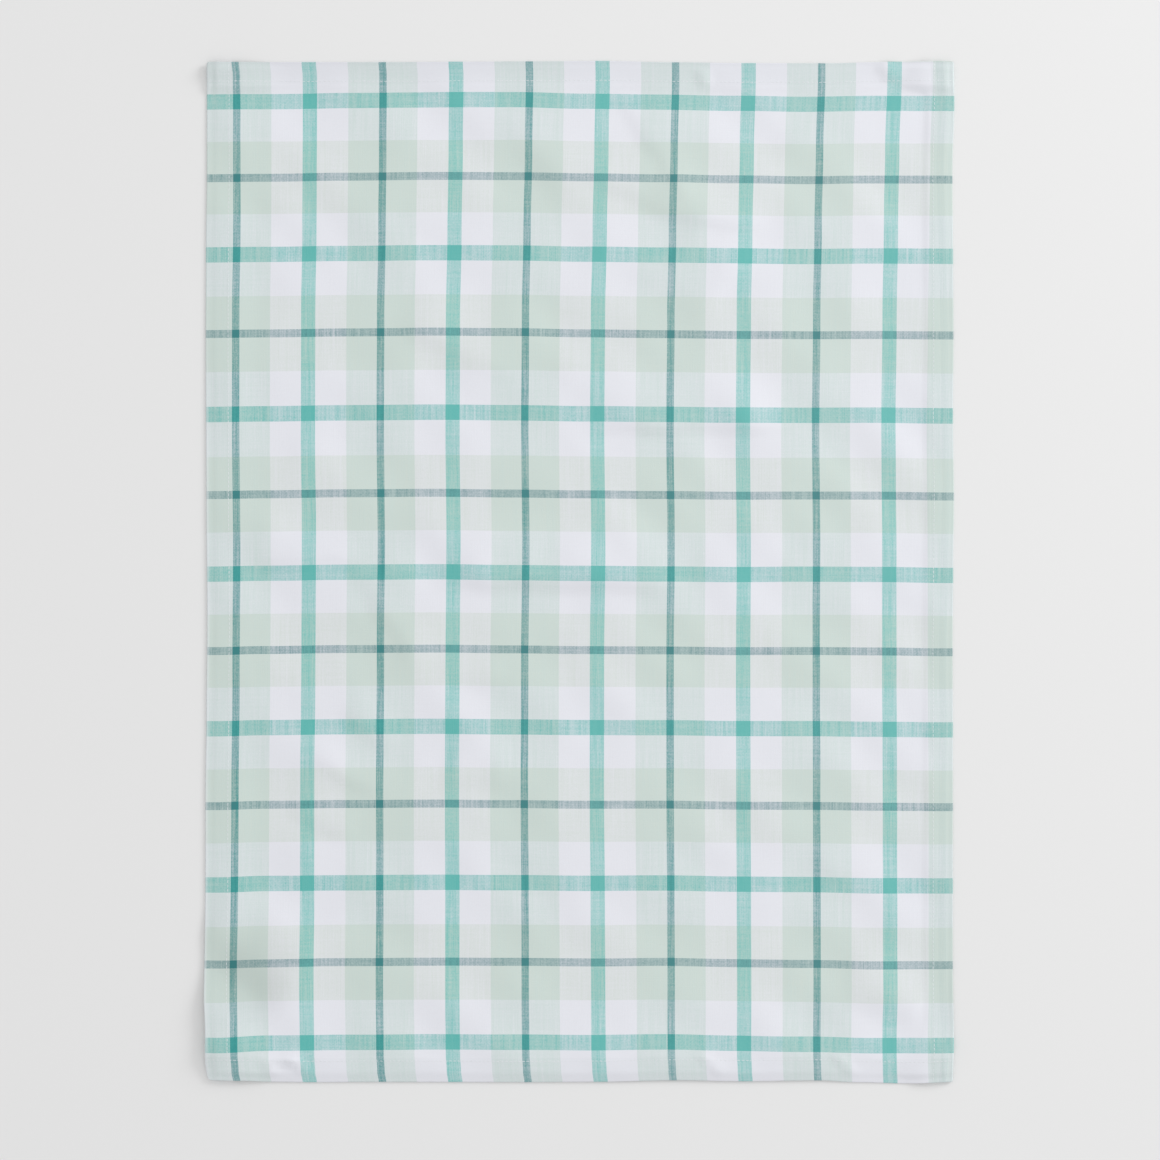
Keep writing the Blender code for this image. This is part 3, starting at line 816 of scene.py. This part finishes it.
def makeCotton(groups):
    material = bpy.data.materials.new("wovenCotton")
    material.use_nodes = True
    tree = material.node_tree
    shader = tree.nodes["Principled BSDF"]
    yarnMap = put(tree, "ShaderNodeUVMap", uv_map="yarnMap").outputs[0]
    underMap = put(tree, "ShaderNodeUVMap", uv_map="underMap").outputs[0]
    clothMap = put(tree, "ShaderNodeUVMap", uv_map="clothMap").outputs[0]
    count = {0: yarnMap, 3: float(check["yarnsInRepeat"])}
    count = put(tree, "ShaderNodeVectorMath", count, operation="SCALE").outputs[0]
    masks = useGroup(tree, groups["hemMask"], {"Cloth Place": clothMap})
    slub = useGroup(tree, groups["yarnSlub"], {"Yarn Count": count, "Slub Length": cotton["slubLength"]})
    thickEnds = calc(tree, "MULTIPLY", slub["Warp"], cotton["endSlub"])
    thickPicks = calc(tree, "MULTIPLY", slub["Weft"], cotton["pickSlub"])
    cover = calc(tree, "ADD", calc(tree, "SUBTRACT", thickEnds, thickPicks), cotton["warpCover"])
    weave = {"Yarn Count": count, "Cover": cover, "Contrast": cotton["weaveContrast"]}
    weave = useGroup(tree, groups["plainWeave"], weave)

    def clothColour(place):  # each yarn is tinted by the one that crosses under it
        chart = useGroup(tree, groups["checkChart"], {"Yarn Place": place})
        warp = mixed(tree, cotton["crossTint"], chart["Warp Colour"], chart["Weft Colour"], "MULTIPLY")
        weft = mixed(tree, cotton["crossTint"], chart["Weft Colour"], chart["Warp Colour"], "MULTIPLY")
        return mixed(tree, weave["Warp Share"], weft, warp)

    face = clothColour(yarnMap)
    own = put(tree, "ShaderNodeSeparateXYZ", {0: yarnMap}).outputs
    turned = put(tree, "ShaderNodeSeparateXYZ", {0: underMap}).outputs
    below = put(tree, "ShaderNodeCombineXYZ", {
        0: put(tree, "ShaderNodeMix", {0: masks["Side Hems"], 2: own[0], 3: turned[0]}).outputs[0],
        1: put(tree, "ShaderNodeMix", {0: masks["End Hems"], 2: own[1], 3: turned[1]}).outputs[0],
    })
    seen = mixed(tree, masks["Show Through"], face, clothColour(below.outputs[0]), "MULTIPLY")
    cloth = put(tree, "ShaderNodeSeparateXYZ", {0: clothMap}).outputs
    # painted sheen: paler towards the right and the top, where the lamp stands
    paintedSheen = calc(tree, "MULTIPLY", cloth[0], cotton["lampSheenAcross"] / towel["width"])
    paintedSheen = calc(tree, "MULTIPLY_ADD", cloth[1], cotton["lampSheenAlong"] / towel["length"], paintedSheen)
    seen = mixed(tree, paintedSheen, seen, (*cotton["white"], 1.0))
    # painted light: the left fold is painted paler
    paintedFoldLight = calc(tree, "MULTIPLY", masks["Left Fold Light"], cotton["foldPaintedLight"])
    seen = mixed(tree, paintedFoldLight, seen, (*cotton["white"], 1.0))
    # painted shade at the top fold and where the cloth stands off the surface
    paintedShade = calc(tree, "MULTIPLY", masks["Top Fold Shade"], cotton["topFoldShade"])
    paintedShade = calc(tree, "MULTIPLY_ADD", masks["Off Surface Shade"], cotton["liftShade"], paintedShade)
    seen = mixed(tree, paintedShade, seen, (0.0, 0.0, 0.0, 1.0))
    wire(tree, seen, shader.inputs["Base Color"])
    slubs = calc(tree, "ADD", slub["Warp"], slub["Weft"])
    height = calc(tree, "MULTIPLY_ADD", slubs, cotton["slubBump"], weave["Height"])
    bump = {"Height": height, "Distance": cotton["weaveDepth"], "Strength": cotton["weaveBump"]}
    wire(tree, put(tree, "ShaderNodeBump", bump).outputs[0], shader.inputs["Normal"])
    deep = cotton["roughness"] + cotton["roughnessSpread"]
    high = cotton["roughness"] - cotton["roughnessSpread"]
    rough = put(tree, "ShaderNodeMapRange", {0: weave["Height"], 1: 0.0, 2: 1.0, 3: deep, 4: high})
    wire(tree, rough.outputs[0], shader.inputs["Roughness"])
    shader.inputs["Specular IOR Level"].default_value = cotton["specular"]
    shader.inputs["Sheen Weight"].default_value = cotton["sheen"]
    shader.inputs["Sheen Roughness"].default_value = cotton["sheenRoughness"]
    return material


sewingThread = {
    "colour": (0.84, 0.86, 0.88),
    "shade": (0.66, 0.69, 0.72),  # painted shade in the grooves between its plies
    "plies": 9.0,  # turns that show in one stitch
    "plyDepth": 0.00004,
    "plyBump": 0.5,
    "roughness": 0.7,
    "specular": 0.35,
}


def makeThread():
    material = bpy.data.materials.new("sewingThread")
    material.use_nodes = True
    tree = material.node_tree
    shader = tree.nodes["Principled BSDF"]
    threadMap = put(tree, "ShaderNodeUVMap", uv_map="threadMap").outputs[0]
    split = put(tree, "ShaderNodeSeparateXYZ", {0: threadMap}).outputs
    turns = calc(tree, "ADD", calc(tree, "MULTIPLY", split[0], sewingThread["plies"] / 2), split[1])
    twist = calc(tree, "ABSOLUTE", calc(tree, "SINE", calc(tree, "MULTIPLY", turns, pi)))
    # painted shade in the grooves between the plies
    paintedPlyShade = mixed(tree, twist, (*sewingThread["shade"], 1.0), (*sewingThread["colour"], 1.0))
    wire(tree, paintedPlyShade, shader.inputs["Base Color"])
    bump = {"Height": twist, "Distance": sewingThread["plyDepth"], "Strength": sewingThread["plyBump"]}
    wire(tree, put(tree, "ShaderNodeBump", bump).outputs[0], shader.inputs["Normal"])
    shader.inputs["Roughness"].default_value = sewingThread["roughness"]
    shader.inputs["Specular IOR Level"].default_value = sewingThread["specular"]
    return material


studio = {
    "surfaceSize": 24.0,
    "surfaceColour": (0.80, 0.80, 0.80),
    "surfaceRoughness": 0.85,
    "surfaceSpecular": 0.2,
    "skyStrength": 0.822,
    "lightPlace": (2.88, 1.73, 1.29),
    "lightSize": 1.5,
    "lightPower": 63.0,
    "viewWidth": 0.78358,  # what the camera sees across at the surface
    "viewCentre": (0.0005, -0.0053),
    "cameraHeight": 2.2,
    "sensor": 36.0,
}


def makeSurface():
    half = studio["surfaceSize"] / 2
    mesh = bpy.data.meshes.new("paleSurface")
    corners = [(-half, -half, 0.0), (half, -half, 0.0), (half, half, 0.0), (-half, half, 0.0)]
    mesh.from_pydata(corners, [], [(0, 1, 2, 3)])
    surface = bpy.data.objects.new("paleSurface", mesh)
    bpy.context.scene.collection.objects.link(surface)
    material = bpy.data.materials.new("palePaint")
    material.use_nodes = True
    shader = material.node_tree.nodes["Principled BSDF"]
    shader.inputs["Base Color"].default_value = (*studio["surfaceColour"], 1.0)
    shader.inputs["Roughness"].default_value = studio["surfaceRoughness"]
    shader.inputs["Specular IOR Level"].default_value = studio["surfaceSpecular"]
    mesh.materials.append(material)
    return surface


def makeLight():
    world = bpy.data.worlds.new("softRoom")
    world.use_nodes = True
    back = world.node_tree.nodes["Background"]
    back.inputs["Color"].default_value = (1.0, 1.0, 1.0, 1.0)
    back.inputs["Strength"].default_value = studio["skyStrength"]
    bpy.context.scene.world = world
    light = bpy.data.lights.new("softWindow", "AREA")
    light.shape = "DISK"
    light.size = studio["lightSize"]
    light.energy = studio["lightPower"]
    window = bpy.data.objects.new("softWindow", light)
    window.location = studio["lightPlace"]
    window.rotation_euler = (-Vector(studio["lightPlace"])).to_track_quat("-Z", "Y").to_euler()
    bpy.context.scene.collection.objects.link(window)


def makeCamera():
    camera = bpy.data.cameras.new("aboveTowel")
    camera.sensor_width = studio["sensor"]
    camera.lens = studio["sensor"] * studio["cameraHeight"] / studio["viewWidth"]
    above = bpy.data.objects.new("aboveTowel", camera)
    above.location = (*studio["viewCentre"], studio["cameraHeight"])
    bpy.context.scene.collection.objects.link(above)
    bpy.context.scene.camera = above


makeCamera()
makeLight()
surface = makeSurface()
print("surface, light and camera made")

towelCloth, middle, columns, rows = makeTowel()
print("cloth made:", len(columns), "by", len(rows), "points")
hemStitching = makeStitching(towelCloth, middle)
print("stitches made:", len(hemStitching.data.polygons), "faces")

groups = {
    "checkChart": checkChart(),
    "yarnSlub": yarnSlub(),
    "plainWeave": plainWeave(),
    "hemMask": hemMask(),
}
towelCloth.data.materials.append(makeCotton(groups))
hemStitching.data.materials.append(makeThread())
print("materials made")

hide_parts("towel")
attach(towelCloth, "root")
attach(hemStitching, "root")

bpy.context.scene.view_settings.view_transform = "Standard"
